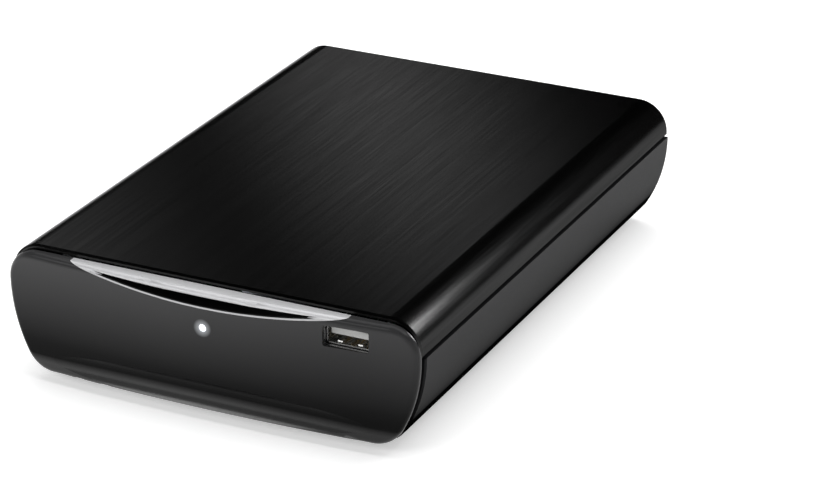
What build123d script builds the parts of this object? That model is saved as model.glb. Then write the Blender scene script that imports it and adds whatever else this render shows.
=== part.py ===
"""Media player with a slide-out hard drive tray: two-shell case, drawer front, drive, boards and sockets.

Frame: X across, front towards -Y, +Z up. The origin is on the table, under the middle of the outer box.
"""

import os
from math import asin, cos, radians, sin

from build123d import *

# Case: two shells that meet at a side seam
case_width = 130.0
case_length = 179.4
case_height = 39.2
seam_height = 28.0
side_radius = 46.3
bottom_corner = 9.3
lower_wall = 2.0
cover_wall = 1.2
cover_inset = 0.4
cover_corner = 9.5
seam_gap = 0.5
lower_setback = 2.0
cover_bevel = 0.6
foot_height = 2.0
foot_radius = 5.0
foot_recess = 0.5
foot_inset = 18.0
foot_spread = 76.0

# Drawer front
bezel_depth = 5.0
bezel_gap = 0.5
bezel_inset = 0.2
bezel_drop = 1.5
bezel_lift = 1.15
bezel_bow_radius = 680.0
bezel_corner = 9.2
bezel_roll = 1.8
bezel_wall = 2.2
flute_radius = 6.4
flute_height = 7.8
flute_half_length = 50.0
crescent_half_length = 44.0
crescent_depth = 5.0
slot_half_length = 35.5
slot_rim = 1.0
slot_height = 2.6
post_radius = 2.6
post_hole_radius = 1.15

# Front socket, lamp and receiver
usb_shell_width = 13.1
usb_shell_height = 5.7
usb_shell_length = 12.6
usb_shell_wall = 0.35
usb_recess = 1.9
usb_x = 43.6
usb_z = 33.9
usb_clearance = 0.25
led_radius = 1.2
led_z = 28.9

# Hard drive, 3.5 inch size
drive_width = 101.6
drive_length = 147.0
drive_height = 26.1
drive_lid = 2.6
plug_offset = 20.7

# Tray and rails
sheet = 1.0
tray_side_gap = 0.3
tray_side_height = 12.0
tray_flange = 4.5
flange_gap = 0.35
rail_wall = 1.5

# Boards and sockets
board = 1.6
standoff = 3.0
board_half_width = 52.0
panel = 1.5
panel_recess = 1.5
jack_stand_out = 6.5
jack_pitch = 13.0
jack_rise = 14.0
jack_sleeve_radius = 4.15
jack_pin_radius = 1.6

def bow(x):
    """How far the bowed face lies behind its own middle at x."""
    return bezel_bow_radius - (bezel_bow_radius**2 - x**2) ** 0.5


# Shared places worked out from the sizes above
half_width = case_width / 2
case_bottom = foot_height
case_top = case_bottom + case_height
seam = case_bottom + seam_height
cover_low = seam + seam_gap
overall_length = bezel_depth + bezel_gap + case_length + jack_stand_out
face_y = -overall_length / 2
bezel_back = face_y + bezel_depth
case_front = bezel_back + bezel_gap
case_rear = case_front + case_length
lower_front = case_front + lower_setback
floor_top = case_bottom + lower_wall
bezel_half = half_width - bezel_inset
bezel_top = case_top - bezel_drop
bezel_low = case_bottom + bezel_lift
flute_depth = bow(flute_half_length)
slot_low = bezel_top - crescent_depth + slot_rim
crescent_radius = (crescent_half_length**2 + crescent_depth**2) / (2 * crescent_depth)
crescent_centre = bezel_top - crescent_depth + crescent_radius

main_bottom = floor_top + standoff
main_top = main_bottom + board
tray_bottom = main_top + 3.8
tray_top = tray_bottom + sheet
drive_top = tray_top + drive_height
usb_front = face_y + bow(usb_x) + usb_recess
front_board_y = usb_front + usb_shell_length
drive_front = front_board_y + board + 1.6
drive_rear = drive_front + drive_length
tray_front_plate = bezel_back + 7.5
tray_inner = drive_width / 2 + tray_side_gap
tray_outer = tray_inner + sheet
tray_side_top = tray_top + tray_side_height
dock_y = drive_rear + 4.0
panel_outer = case_rear - panel_recess
panel_inner = panel_outer - panel


def upright(y):
    """Sketch plane facing the front at depth y: its own axes are X and Z."""
    return Plane.XZ.offset(-y)


def lower_profile(y, inset):
    """Face below the seam: leaning round sides, flat bottom and round corners, moved inwards by inset."""
    radius = side_radius - inset
    centre_x = half_width - side_radius
    low = case_bottom + inset
    lean = asin((seam - low) / radius)
    foot_x = centre_x + radius * cos(lean)
    middle = (centre_x + radius * cos(lean / 2), seam - radius * sin(lean / 2))
    with BuildSketch(upright(y)) as profile:
        with BuildLine():
            Line((0, seam), (half_width - inset, seam))
            ThreePointArc((half_width - inset, seam), middle, (foot_x, low))
            Line((foot_x, low), (0, low))
            mirror(about=Plane.YZ)
        make_face()
        corners = vertices().group_by(Axis.Y)[0].sort_by(Axis.X)
        fillet([corners[0], corners[-1]], radius=bottom_corner - inset)
    return profile.sketch


def cover_profile(y, inset):
    """Face above the seam: upright sides, round shoulders and a flat top, moved inwards by inset."""
    half = half_width - cover_inset - inset
    with BuildSketch(upright(y)) as profile:
        with Locations((0, cover_low)):
            Rectangle(2 * half, case_top - inset - cover_low, align=(Align.CENTER, Align.MIN))
        fillet(vertices().group_by(Axis.Y)[-1], radius=cover_corner - inset)
    return profile.sketch


def bezel_profile(inset):
    """Outline of the drawer front: round shoulders, leaning round sides and a flat foot, moved inwards by inset."""
    radius = side_radius - inset
    half = bezel_half - inset
    centre_x = bezel_half - side_radius
    low = bezel_low + inset
    lean = asin((seam - low) / radius)
    foot_x = centre_x + radius * cos(lean)
    middle = (centre_x + radius * cos(lean / 2), seam - radius * sin(lean / 2))
    with BuildSketch(upright(bezel_back)) as profile:
        with BuildLine():
            Line((0, bezel_top - inset), (half, bezel_top - inset))
            Line((half, bezel_top - inset), (half, seam))
            ThreePointArc((half, seam), middle, (foot_x, low))
            Line((foot_x, low), (0, low))
            mirror(about=Plane.YZ)
        make_face()
        shoulders = vertices().group_by(Axis.Y)[-1].sort_by(Axis.X)
        fillet([shoulders[0], shoulders[-1]], radius=bezel_corner - inset)
        feet = vertices().group_by(Axis.Y)[0].sort_by(Axis.X)
        fillet([feet[0], feet[-1]], radius=bottom_corner - inset)
    return profile.sketch


def finish(builder, name):
    """Label a finished piece and write its file."""
    builder.part.label = name
    export_step(builder.part, f"parts/{name}.step")


os.makedirs("parts", exist_ok=True)

# Top cover: brushed aluminium, bent over the shoulders and down to the seam
cover_curl = 0.7
with BuildPart() as top_cover:
    extrude(cover_profile(case_front, 0), amount=-case_length)
    chamfer(edges().group_by(Axis.Y)[0], length=cover_bevel)
    chamfer(edges().group_by(Axis.Y)[-1], length=cover_bevel)
    extrude(cover_profile(case_front, cover_wall), amount=-case_length, mode=Mode.SUBTRACT)
    curled = edges().filter_by(Axis.Y).group_by(Axis.Z)[0].sort_by(Axis.X)
    fillet([curled[0], curled[-1]], radius=cover_curl)
finish(top_cover, "top_cover")

# Lower case: moulded trough, open at both ends, with a tongue on each side that stands inside the cover
tongue_wall = 1.4
tongue_height = 2.5
tongue_root = 4.0
tongue_gap = 0.3
tongue_x = half_width - cover_inset - cover_wall - tongue_gap
sill_top = tray_bottom - 0.6
board_post_radius = 2.6
board_screw_radius = 1.2
board_screws_at = [(x, y) for x in (-33.0, 33.0) for y in (-72.0, -4.0, 60.0)]
rail_post_x = 54.6
rail_post_top = 12.5
rail_post_radius = 2.3
rail_post_ys = (-76.0, -8.0, 58.0)
rail_screw_radius = 1.1
panel_screw_x = 58.0
panel_screw_z = 24.0
panel_screw_radius = 1.2
panel_boss_radius = 2.7
panel_boss_length = 9.0
vent_width = 2.2
vent_length = 15.0
vent_pitch = 6.0
vents_in_row = 9
feet_at = [(x, y) for x in (-foot_spread / 2, foot_spread / 2)
           for y in (lower_front + foot_inset, case_rear - foot_inset)]
lower_length = case_rear - lower_front
with BuildPart() as rail_posts:
    extrude(lower_profile(lower_front, lower_wall / 2), amount=-lower_length)
    with BuildSketch():
        with Locations(*[(side * rail_post_x, y) for side in (-1, 1) for y in rail_post_ys]):
            Circle(rail_post_radius)
    extrude(amount=rail_post_top, mode=Mode.INTERSECT)
with BuildPart() as lower_case:
    extrude(lower_profile(lower_front, 0), amount=-lower_length)
    chamfer(edges().group_by(Axis.Y)[0], length=0.5)
    chamfer(edges().group_by(Axis.Y)[-1], length=0.5)
    extrude(lower_profile(lower_front, lower_wall), amount=-lower_length, mode=Mode.SUBTRACT)
    # front sill, which closes the space under the tray
    with BuildSketch(upright(lower_front + 1.0)):
        add(lower_profile(0, lower_wall / 2))
        with Locations((0, sill_top)):
            Rectangle(case_width, case_height, align=(Align.CENTER, Align.MIN), mode=Mode.SUBTRACT)
    extrude(amount=-lower_wall)
    # tongues that locate the cover
    with BuildSketch(upright(lower_front + 3.0)):
        for side in (-1, 1):
            edge = Align.MAX if side > 0 else Align.MIN
            with Locations((side * tongue_x, seam - tongue_root)):
                Rectangle(tongue_wall, tongue_root + tongue_height, align=(edge, Align.MIN))
            with Locations((side * (half_width - 0.6), seam - tongue_root)):
                Rectangle(half_width - 0.6 - tongue_x + tongue_wall, tongue_root - 1.2, align=(edge, Align.MIN))
    extrude(amount=-(panel_inner - 1.0 - lower_front - 3.0))
    # posts for the rails and the main board
    add(rail_posts.part)
    with BuildSketch(Plane.XY.offset(case_bottom + 1.0)):
        with Locations(*board_screws_at):
            Circle(board_post_radius)
    extrude(amount=main_bottom - case_bottom - 1.0)
    # bosses for the rear panel's screws, joined to the side walls
    with BuildSketch(upright(panel_inner - panel_boss_length)):
        for side in (-1, 1):
            with Locations((side * panel_screw_x, panel_screw_z)):
                Circle(panel_boss_radius)
                Rectangle(half_width - panel_screw_x - 1.2, 2 * panel_boss_radius,
                          align=(Align.MIN if side > 0 else Align.MAX, Align.CENTER))
    extrude(amount=-panel_boss_length)
    # screw holes
    with BuildSketch(Plane.XY.offset(main_bottom)):
        with Locations(*board_screws_at):
            Circle(board_screw_radius)
    extrude(amount=-3.4, mode=Mode.SUBTRACT)
    with BuildSketch(Plane.XY.offset(rail_post_top)):
        with Locations(*[(side * rail_post_x, y) for side in (-1, 1) for y in rail_post_ys]):
            Circle(rail_screw_radius)
    extrude(amount=-6.0, mode=Mode.SUBTRACT)
    with BuildSketch(upright(panel_inner)):
        with Locations((-panel_screw_x, panel_screw_z), (panel_screw_x, panel_screw_z)):
            Circle(panel_screw_radius)
    extrude(amount=panel_boss_length - 1.0, mode=Mode.SUBTRACT)
    # recesses for the feet and cooling slots in the floor
    with BuildSketch(Plane.XY.offset(case_bottom)):
        with Locations(*feet_at):
            Circle(foot_radius + 0.1)
    extrude(amount=foot_recess, mode=Mode.SUBTRACT)
    with BuildSketch(Plane.XY.offset(case_bottom)):
        with GridLocations(vent_pitch, 2.2 * vent_length, vents_in_row, 2):
            SlotCenterToCenter(vent_length - vent_width, vent_width, rotation=90)
    extrude(amount=lower_wall, mode=Mode.SUBTRACT)
finish(lower_case, "lower_case")

# Rubber feet, glued into the recesses
with BuildPart() as rubber_feet:
    with BuildSketch():
        with Locations(*feet_at):
            Circle(foot_radius)
    extrude(amount=case_bottom + foot_recess)
    chamfer(edges().group_by(Axis.Z)[0], length=0.5)
finish(rubber_feet, "rubber_feet")

# Drawer front: moulded bezel, bowed forward across its width and rolled at its edges, with a flute along its foot
usb_opening_width = usb_shell_width + 2 * usb_clearance
usb_opening_height = usb_shell_height + 2 * usb_clearance
posts_at = [(-46.0, 16.5), (46.0, 16.5), (-24.0, 33.0), (24.0, 33.0)]
post_hole_depth = 8.0
flute_half_height = (flute_radius**2 - (flute_radius - flute_depth) ** 2) ** 0.5
pocket_low = flute_height + flute_half_height + 1.3
with BuildPart() as bezel_block:
    extrude(bezel_profile(0), amount=bezel_depth)
    with BuildSketch():
        with Locations((0, face_y + bezel_bow_radius)):
            Circle(bezel_bow_radius)
    extrude(amount=case_top, mode=Mode.INTERSECT)
    fillet(faces().sort_by(Axis.Y)[0].edges(), radius=bezel_roll)
with BuildPart() as bezel_pocket:
    extrude(bezel_profile(bezel_wall), amount=bezel_depth)
    with BuildSketch(Plane.XY.offset(pocket_low)):
        with Locations((0, face_y + bezel_bow_radius)):
            Circle(bezel_bow_radius - bezel_wall)
    extrude(amount=case_top, mode=Mode.INTERSECT)
with BuildPart() as front_bezel:
    add(bezel_block.part)
    add(bezel_pocket.part, mode=Mode.SUBTRACT)
    # notch that the crescent trim fills
    with BuildSketch(upright(bezel_back + 1.0)):
        with Locations((0, crescent_centre)):
            Circle(crescent_radius)
    extrude(amount=bezel_depth + 2.0, mode=Mode.SUBTRACT)
    # flute: a straight groove, which runs out on both sides where the bowed face falls back behind it
    with BuildSketch(Plane.YZ):
        with Locations((face_y + flute_depth - flute_radius, flute_height)):
            Circle(flute_radius)
    extrude(amount=half_width, both=True, mode=Mode.SUBTRACT)
    # posts that the tray's front plate is screwed to
    with BuildSketch(upright(face_y + bezel_wall + 0.1)):
        with Locations(*posts_at):
            Circle(post_radius)
    extrude(amount=-(tray_front_plate - face_y - bezel_wall - 0.1))
    with BuildSketch(upright(tray_front_plate)):
        with Locations(*posts_at):
            Circle(post_hole_radius)
    extrude(amount=post_hole_depth, mode=Mode.SUBTRACT)
    # socket opening and lamp hole
    with BuildSketch(upright(face_y)):
        with Locations((usb_x, usb_z)):
            RectangleRounded(usb_opening_width, usb_opening_height, 0.6)
        with Locations((0, led_z)):
            Circle(led_radius)
    extrude(amount=-bezel_depth, mode=Mode.SUBTRACT)
finish(front_bezel, "front_bezel")

# Crescent trim: silver moulding that carries on the rolled top edge, with a slot for a fingernail
trim_gap = 0.06
slot_centre = slot_low + crescent_radius - slot_rim
slot_tip_z = slot_centre - ((crescent_radius - slot_rim)**2 - slot_half_length**2) ** 0.5
with BuildPart() as crescent_trim:
    add(bezel_block.part)
    with BuildSketch(upright(bezel_back)):
        with Locations((0, crescent_centre)):
            Circle(crescent_radius - trim_gap)
    extrude(amount=bezel_depth + 1.0, mode=Mode.INTERSECT)
    with BuildSketch(upright(bezel_back)):
        with BuildLine():
            ThreePointArc((-slot_half_length, slot_tip_z), (0, slot_low), (slot_half_length, slot_tip_z))
            ThreePointArc((-slot_half_length, slot_tip_z), (0, slot_low + slot_height),
                          (slot_half_length, slot_tip_z))
        make_face()
    extrude(amount=bezel_depth + 1.0, mode=Mode.SUBTRACT)
finish(crescent_trim, "crescent_trim")

# Receiver window: smoked strip behind the slot, dark to the eye and clear to infrared
window_depth = 1.2
with BuildPart() as receiver_window:
    with BuildSketch(upright(bezel_back)):
        with Locations((0, crescent_centre)):
            Circle(crescent_radius - slot_rim + 0.4)
        with Locations((0, slot_low - 0.4)):
            Rectangle(2 * slot_half_length + 1.0, slot_height + 1.4, align=(Align.CENTER, Align.MIN),
                      mode=Mode.INTERSECT)
    extrude(amount=-window_depth)
finish(receiver_window, "receiver_window")

# Lamp: clear light pipe from the lamp on the front board to the face
led_length = 2.4
with BuildPart() as led_light_pipe:
    with BuildSketch(upright(face_y)):
        with Locations((0, led_z)):
            Circle(led_radius - 0.05)
    extrude(amount=-(front_board_y - led_length - 0.2 - face_y))
    with BuildSketch(upright(face_y + bezel_wall + 0.05)):
        with Locations((0, led_z)):
            Circle(led_radius + 0.8)
    extrude(amount=-1.2)
    fillet(edges().group_by(Axis.Y)[0], radius=0.4)
finish(led_light_pipe, "led_light_pipe")

with BuildPart() as status_led:
    with BuildSketch(upright(front_board_y)):
        with Locations((0, led_z)):
            Circle(1.5)
    extrude(amount=led_length)
    fillet(edges().group_by(Axis.Y)[0], radius=0.9)
finish(status_led, "status_led")

# Front board: upright circuit board behind the tray's front plate
front_board_half = tray_inner - 0.3
front_board_low = tray_top + 0.6
front_board_top = 38.4
spacers_at = [(-30.0, 20.0), (30.0, 20.0), (-34.0, 33.0), (34.0, 33.0)]
with BuildPart() as front_board:
    with BuildSketch(upright(front_board_y)):
        with Locations((0, front_board_low)):
            Rectangle(2 * front_board_half, front_board_top - front_board_low, align=(Align.CENTER, Align.MIN))
        with Locations(*spacers_at):
            Circle(1.2, mode=Mode.SUBTRACT)
    extrude(amount=-board)
finish(front_board, "front_board")

# Front socket: folded metal shell round a plastic tongue
with BuildPart() as front_usb_shell:
    with BuildSketch(upright(front_board_y)):
        with Locations((usb_x, usb_z)):
            RectangleRounded(usb_shell_width, usb_shell_height, 0.6)
    extrude(amount=usb_shell_length)
    with BuildSketch(upright(usb_front)):
        with Locations((usb_x, usb_z)):
            RectangleRounded(usb_shell_width - 2 * usb_shell_wall, usb_shell_height - 2 * usb_shell_wall, 0.3)
    extrude(amount=-(usb_shell_length - 1.0), mode=Mode.SUBTRACT)
finish(front_usb_shell, "front_usb_shell")

tongue_thickness = 1.9
with BuildPart() as front_usb_tongue:
    with BuildSketch(upright(front_board_y - 1.0)):
        with Locations((usb_x, usb_z)):
            RectangleRounded(usb_shell_width - 2 * usb_shell_wall - 0.1,
                             usb_shell_height - 2 * usb_shell_wall - 0.1, 0.3)
    extrude(amount=2.4)
    with BuildSketch(upright(front_board_y - 1.0)):
        with Locations((usb_x, usb_z + 0.7)):
            Rectangle(11.2, tongue_thickness)
    extrude(amount=usb_shell_length - 2.0)
finish(front_usb_tongue, "front_usb_tongue")

with BuildPart() as infrared_receiver:
    with BuildSketch(upright(front_board_y)):
        with Locations((0, slot_low + 0.6)):
            Rectangle(7.0, 5.0)
    extrude(amount=3.6)
    with BuildSketch(upright(front_board_y - 3.6)):
        with Locations((0, slot_low + 0.6)):
            Circle(2.0)
    extrude(amount=1.4, taper=20)
finish(infrared_receiver, "infrared_receiver")

# Drive tray: folded steel pan with side flanges and a front plate
plate_top = 38.4
window_radius = 4.0
drive_hole_z = tray_top + 6.35
drive_hole_ys = (drive_front + 28.5, drive_front + 130.1)
cable_x = -44.0
cable_width = 12.0
tray_rear = drive_rear + 1.5
with BuildPart() as drive_tray:
    with BuildSketch(upright(tray_front_plate)):
        with Locations((0, tray_bottom)):
            Rectangle(2 * tray_outer, tray_side_height + sheet, align=(Align.CENTER, Align.MIN))
        with Locations((0, tray_top)):
            Rectangle(2 * tray_inner, tray_side_height, align=(Align.CENTER, Align.MIN), mode=Mode.SUBTRACT)
        for side in (-1, 1):
            with Locations((side * tray_inner, tray_side_top)):
                Rectangle(sheet + tray_flange, sheet, align=(Align.MIN if side > 0 else Align.MAX, Align.MAX))
    extrude(amount=-(tray_rear - tray_front_plate))
    with BuildSketch(upright(tray_front_plate)):
        with Locations((0, tray_bottom)):
            Rectangle(2 * tray_outer, plate_top - tray_bottom, align=(Align.CENTER, Align.MIN))
        with Locations((usb_x, plate_top)):
            Rectangle(usb_shell_width + 1.6, plate_top - usb_z + usb_shell_height / 2 + 0.8,
                      align=(Align.CENTER, Align.MAX), mode=Mode.SUBTRACT)
        with Locations((0, plate_top)):
            Rectangle(12.0, plate_top - slot_low + 3.0, align=(Align.CENTER, Align.MAX), mode=Mode.SUBTRACT)
        with Locations((0, led_z)):
            Circle(2.0, mode=Mode.SUBTRACT)
    extrude(amount=-sheet)
    with BuildSketch(upright(tray_front_plate + sheet)):
        with Locations(*spacers_at):
            Circle(2.6)
    extrude(amount=-(front_board_y - tray_front_plate - sheet))
    with BuildSketch(upright(tray_front_plate)):
        with Locations(*posts_at):
            Circle(1.3)
        with Locations(*spacers_at):
            Circle(1.0)
    extrude(amount=-(front_board_y - tray_front_plate), mode=Mode.SUBTRACT)
    # floor: windows under the drive and a slot for the flat cable
    with BuildSketch(Plane.XY.offset(tray_bottom)):
        with Locations((12.0, drive_front + 40.0), (12.0, drive_front + 104.0)):
            RectangleRounded(60.0, 50.0, window_radius)
        with Locations((cable_x, front_board_y + board + 0.5)):
            Rectangle(cable_width + 1.0, 1.6)
    extrude(amount=sheet, mode=Mode.SUBTRACT)
    with BuildSketch(Plane.YZ.offset(-tray_outer - 1.0)):
        with Locations(*[(y, drive_hole_z) for y in drive_hole_ys]):
            Circle(1.8)
    extrude(amount=2 * tray_outer + 2.0, mode=Mode.SUBTRACT)
finish(drive_tray, "drive_tray")

# Screws: a head and a shank for each place, all of one kind in one node
def screws(places, plane, head_radius, head_height, shank_radius, shank_length):
    """Pan-head screws whose heads stand on the plane and whose shanks go down through it."""
    with BuildPart() as group:
        with BuildSketch(plane):
            with Locations(*places):
                Circle(head_radius)
        extrude(amount=head_height)
        fillet(edges().group_by(Axis(plane.origin, plane.z_dir))[-1], radius=head_height * 0.45)
        with BuildSketch(plane):
            with Locations(*places):
                Circle(shank_radius)
        extrude(amount=-shank_length)
    return group


def rear_facing(y):
    """Sketch plane facing the back at depth y: its own axes are -X and Z."""
    return Plane(origin=(0, y, 0), x_dir=(-1, 0, 0), z_dir=(0, 1, 0))


screw_gap = 0.05
bezel_screws = screws([(-x, z) for x, z in posts_at], rear_facing(tray_front_plate + sheet), 2.3, 1.5,
                      post_hole_radius - screw_gap, post_hole_depth - 1.0)
finish(bezel_screws, "bezel_screws")
front_board_screws = screws([(-x, z) for x, z in spacers_at], rear_facing(front_board_y + board), 1.9, 1.1,
                            1.0 - screw_gap, 3.6)
finish(front_board_screws, "front_board_screws")

# Rails: moulded channels that the tray's flanges run in, screwed to the posts of the lower case
rail_front = lower_front + 4.0
rail_rear = drive_rear - 4.0
rail_web = tray_outer + tray_flange + flange_gap
rail_lip_x = tray_outer + 1.9
rail_foot_x = tray_outer + 0.6
flange_low = tray_side_top - sheet
for side, name in ((-1, "left_rail"), (1, "right_rail")):
    outward = Align.MIN if side > 0 else Align.MAX
    with BuildPart() as rail:
        with BuildSketch(upright(rail_front)):
            with Locations((side * rail_web, rail_post_top)):
                Rectangle(rail_wall, tray_side_top + flange_gap + rail_wall - rail_post_top,
                          align=(outward, Align.MIN))
            with Locations((side * rail_lip_x, tray_side_top + flange_gap)):
                Rectangle(rail_web - rail_lip_x, rail_wall, align=(outward, Align.MIN))
            with Locations((side * rail_lip_x, flange_low - flange_gap)):
                Rectangle(rail_web - rail_lip_x, rail_wall, align=(outward, Align.MAX))
            with Locations((side * rail_foot_x, rail_post_top)):
                Rectangle(rail_web - rail_foot_x, rail_wall, align=(outward, Align.MIN))
        extrude(amount=-(rail_rear - rail_front))
        with BuildSketch(Plane.XY.offset(rail_post_top)):
            with Locations(*[(side * rail_post_x, y) for y in rail_post_ys]):
                Circle(rail_screw_radius + 0.2)
        extrude(amount=rail_wall, mode=Mode.SUBTRACT)
        # openings in the lips, which let the mould part and the driver reach the screws
        with BuildSketch(Plane.XY.offset(rail_post_top + rail_wall)):
            with Locations(*[(side * rail_lip_x, y) for y in rail_post_ys]):
                Rectangle(2 * (rail_web - rail_lip_x), 8.0)
        extrude(amount=tray_side_top + flange_gap + rail_wall - rail_post_top, mode=Mode.SUBTRACT)
    finish(rail, name)
rail_screws = screws([(side * rail_post_x, y) for side in (-1, 1) for y in rail_post_ys],
                     Plane.XY.offset(rail_post_top + rail_wall), 1.9, 1.4, rail_screw_radius - screw_gap, 6.0)
finish(rail_screws, "rail_screws")

# Hard drive: cast base, pressed lid, circuit board underneath and the plug at its back
plug_half = 16.8
recess_half = 21.0
recess_depth = 9.0
recess_top = tray_top + 8.0
drive_board_bottom = tray_top + 1.2
drive_board_top = drive_board_bottom + board
drive_board_half = 44.0
base_top = drive_top - drive_lid
with BuildPart() as hard_drive_base:
    with BuildSketch(upright(drive_front)):
        with Locations((0, tray_top)):
            Rectangle(drive_width, drive_height - drive_lid, align=(Align.CENTER, Align.MIN))
        with Locations((0, tray_top)):
            Rectangle(2 * drive_board_half + 2.0, drive_board_top + 0.6 - tray_top,
                      align=(Align.CENTER, Align.MIN), mode=Mode.SUBTRACT)
    extrude(amount=-drive_length)
    fillet(edges().filter_by(Axis.Z).group_by(SortBy.LENGTH)[-1], radius=3.0)
    # well for the discs, closed by the lid
    with BuildSketch(Plane.XY.offset(base_top)):
        with Locations((0, drive_front + 50.8)):
            Circle(47.0)
        with Locations((0, drive_front + 104.0)):
            RectangleRounded(86.0, 74.0, 6.0)
    extrude(amount=-14.5, mode=Mode.SUBTRACT)
    # recess for the plug
    with BuildSketch(upright(drive_rear)):
        with Locations((plug_offset, tray_top)):
            Rectangle(2 * recess_half, recess_top - tray_top, align=(Align.CENTER, Align.MIN))
    extrude(amount=recess_depth, mode=Mode.SUBTRACT)
    # side screw holes
    with BuildSketch(Plane.YZ.offset(-drive_width / 2)):
        with Locations(*[(y, drive_hole_z) for y in drive_hole_ys]):
            Circle(1.6)
    extrude(amount=3.6, mode=Mode.SUBTRACT)
    with BuildSketch(Plane.YZ.offset(drive_width / 2)):
        with Locations(*[(y, drive_hole_z) for y in drive_hole_ys]):
            Circle(1.6)
    extrude(amount=-3.6, mode=Mode.SUBTRACT)
finish(hard_drive_base, "hard_drive_base")

lid_edge = 0.8
with BuildPart() as hard_drive_lid:
    with BuildSketch(Plane.XY.offset(base_top)):
        with Locations((0, drive_front + drive_length / 2)):
            RectangleRounded(drive_width - 2 * lid_edge, drive_length - 2 * lid_edge, 4.0)
    extrude(amount=drive_lid)
    # stepped rim, lower than the middle of the lid
    with BuildSketch(Plane.XY.offset(drive_top)):
        with Locations((0, drive_front + drive_length / 2)):
            RectangleRounded(drive_width - 2 * lid_edge, drive_length - 2 * lid_edge, 4.0)
            RectangleRounded(drive_width - 14.0, drive_length - 16.0, 10.0, mode=Mode.SUBTRACT)
    extrude(amount=-1.0, mode=Mode.SUBTRACT)
finish(hard_drive_lid, "hard_drive_lid")

with BuildPart() as hard_drive_board:
    with BuildSketch(Plane.XY.offset(drive_board_bottom)):
        with Locations((0, drive_rear - 1.0)):
            Rectangle(2 * drive_board_half, 92.0, align=(Align.CENTER, Align.MAX))
    extrude(amount=board)
    with BuildSketch(Plane.XY.offset(drive_board_bottom)):
        with Locations((-18.0, drive_rear - 40.0), (10.0, drive_rear - 62.0)):
            Rectangle(16.0, 16.0)
    extrude(amount=-0.9)
finish(hard_drive_board, "hard_drive_board")

blade = 1.2
blade_z = drive_board_top + 2.2
plug_back = drive_rear - recess_depth + 0.3
plug_body = 2.4
blade_length = 5.2
with BuildPart() as drive_plug:
    with BuildSketch(upright(plug_back)):
        with Locations((plug_offset, drive_board_top)):
            Rectangle(2 * plug_half, 4.6, align=(Align.CENTER, Align.MIN))
    extrude(amount=-plug_body)
    with BuildSketch(upright(plug_back + plug_body)):
        with Locations((plug_offset - 10.6, blade_z)):
            Rectangle(10.4, blade)
        with Locations((plug_offset + 5.6, blade_z)):
            Rectangle(20.6, blade)
    extrude(amount=-blade_length)
finish(drive_plug, "drive_plug")

drive_screws_left = screws([(-y, drive_hole_z) for y in drive_hole_ys],
                           Plane(origin=(-tray_outer, 0, 0), x_dir=(0, -1, 0), z_dir=(-1, 0, 0)), 2.7, 1.2,
                           1.6 - screw_gap, 4.4)
with BuildPart() as drive_screws:
    add(drive_screws_left.part)
    mirror(about=Plane.YZ)
finish(drive_screws, "drive_screws")

# Flat cable under the tray, from the front board to the tray's own plug
cable_thickness = 0.3
cable_rise = 4.0
tray_plug_rear = drive_rear - 1.0
tray_plug_length = 11.0
tray_plug_low = main_top + 0.6
cable_top = tray_bottom
with BuildPart() as front_cable:
    with BuildSketch(Plane.YZ.offset(cable_x - cable_width / 2)):
        with Locations((front_board_y + board, cable_top)):
            Rectangle(tray_plug_rear - 3.0 - front_board_y - board, cable_thickness,
                      align=(Align.MIN, Align.MAX))
        with Locations((front_board_y + board, cable_top - cable_thickness)):
            Rectangle(cable_thickness, cable_rise + cable_thickness, align=(Align.MIN, Align.MIN))
    extrude(amount=cable_width)
finish(front_cable, "front_cable")

nose = 4.0
with BuildPart() as tray_plug:
    with BuildSketch(upright(tray_plug_rear - tray_plug_length)):
        with Locations((cable_x, tray_plug_low)):
            Rectangle(14.0, cable_top - cable_thickness - tray_plug_low, align=(Align.CENTER, Align.MIN))
    extrude(amount=-tray_plug_length)
    with BuildSketch(upright(tray_plug_rear)):
        with Locations((cable_x, tray_plug_low + 1.4)):
            Rectangle(10.0, 1.0)
    extrude(amount=-nose)
finish(tray_plug, "tray_plug")

# Main board, standing on the posts of the lower case, with its chips and low cooling plate
board_front = lower_front + 5.0
board_rear = panel_inner - 0.5
with BuildPart() as main_board:
    with BuildSketch(Plane.XY.offset(main_bottom)):
        with Locations((0, board_front)):
            Rectangle(2 * board_half_width, board_rear - board_front, align=(Align.CENTER, Align.MIN))
        with Locations(*board_screws_at):
            Circle(board_screw_radius + 0.3, mode=Mode.SUBTRACT)
    extrude(amount=board)
finish(main_board, "main_board")
board_screws = screws(board_screws_at, Plane.XY.offset(main_top), 2.4, 1.6, board_screw_radius - screw_gap, 4.6)
finish(board_screws, "board_screws")

chip_x = 6.0
chip_y = 20.0
with BuildPart() as processor:
    with BuildSketch(Plane.XY.offset(main_top)):
        with Locations((chip_x, chip_y)):
            Rectangle(27.0, 27.0)
    extrude(amount=1.2)
    chamfer(edges().filter_by(Axis.Z), length=0.8)
finish(processor, "processor")

fin_height = 1.5
fin_pitch = 2.5
fins = 15
with BuildPart() as heat_sink:
    with BuildSketch(Plane.XY.offset(main_top + 1.2)):
        with Locations((chip_x, chip_y)):
            RectangleRounded(40.0, 40.0, 1.5)
    extrude(amount=0.7)
    with BuildSketch(Plane.XY.offset(main_top + 1.9)):
        with Locations((chip_x, chip_y)):
            with GridLocations(fin_pitch, 0, fins, 1):
                Rectangle(0.9, 40.0)
    extrude(amount=fin_height - 0.2)
finish(heat_sink, "heat_sink")

with BuildPart() as memory_chips:
    with BuildSketch(Plane.XY.offset(main_top)):
        with Locations((chip_x - 12.0, chip_y - 38.0), (chip_x + 8.0, chip_y - 38.0)):
            Rectangle(12.0, 18.0)
    extrude(amount=1.2)
finish(memory_chips, "memory_chips")

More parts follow.
